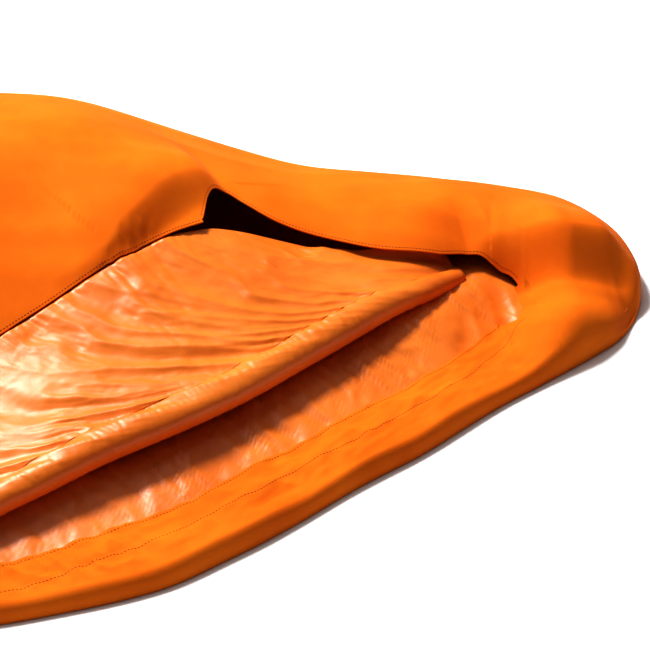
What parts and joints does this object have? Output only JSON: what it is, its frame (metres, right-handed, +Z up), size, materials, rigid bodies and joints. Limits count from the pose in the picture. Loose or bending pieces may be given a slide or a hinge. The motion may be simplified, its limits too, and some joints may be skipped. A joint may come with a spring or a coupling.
{
  "type": "bivy sack",
  "caption": "Mummy-shaped bivy sack lying open, with a diagonal chest opening, a padded draught flap with a rolled edge, a shiny lining and a hood that lifts.",
  "frame": {"origin": "middle of the flat underside of the bag, halfway along it and halfway across it", "axes": "+X towards the crown of the hood, -Y towards the side with the opening, +Z up from the ground"},
  "size_m": [2.1694, 0.8765, 0.2428],
  "materials": {
    "shell_fabric": "matt woven nylon",
    "lining_fabric": "glossy coated nylon",
    "seam_tape": "satin coated tape",
    "thread": "twisted polyester thread",
    "wadding": "soft matt fibre"
  },
  "bodies": {
    "bag": {"base_panel": "shell_fabric", "perimeter_seam_tape": "seam_tape", "base_lining": "lining_fabric", "top_shell": "shell_fabric", "top_lining": "lining_fabric", "foot_panel": "shell_fabric", "near_side_shell": "shell_fabric", "near_facing": "shell_fabric", "crown_band": "shell_fabric", "far_hem": "shell_fabric", "flap_binding": "seam_tape", "flap_head_end": "lining_fabric", "flap_head_roll": "lining_fabric", "inner_hem_stitching": "thread", "outer_hem_stitching": "thread", "far_hem_stitching": "thread"},
    "flap": {"flap_face": "lining_fabric", "flap_wadding": "wadding", "flap_backing": "lining_fabric", "flap_edge_roll": "lining_fabric", "flap_stitching": "thread"},
    "hood": {"hood_shell": "shell_fabric", "hood_lining": "lining_fabric", "hood_hem": "shell_fabric", "hood_hem_stitching": "thread"}
  },
  "joints": [
    {"name": "flap_lift", "type": "hinge", "parent": "bag", "child": "flap", "pos_m": [0.275, -0.108, 0.135], "axis": [-0.8771, -0.4385, -0.1961], "range_deg": [0, 90]},
    {"name": "hood_lift", "type": "hinge", "parent": "bag", "child": "hood", "pos_m": [1.085, 0, 0.012], "axis": [0, 1, 0], "range_deg": [0, 14]}
  ]
}
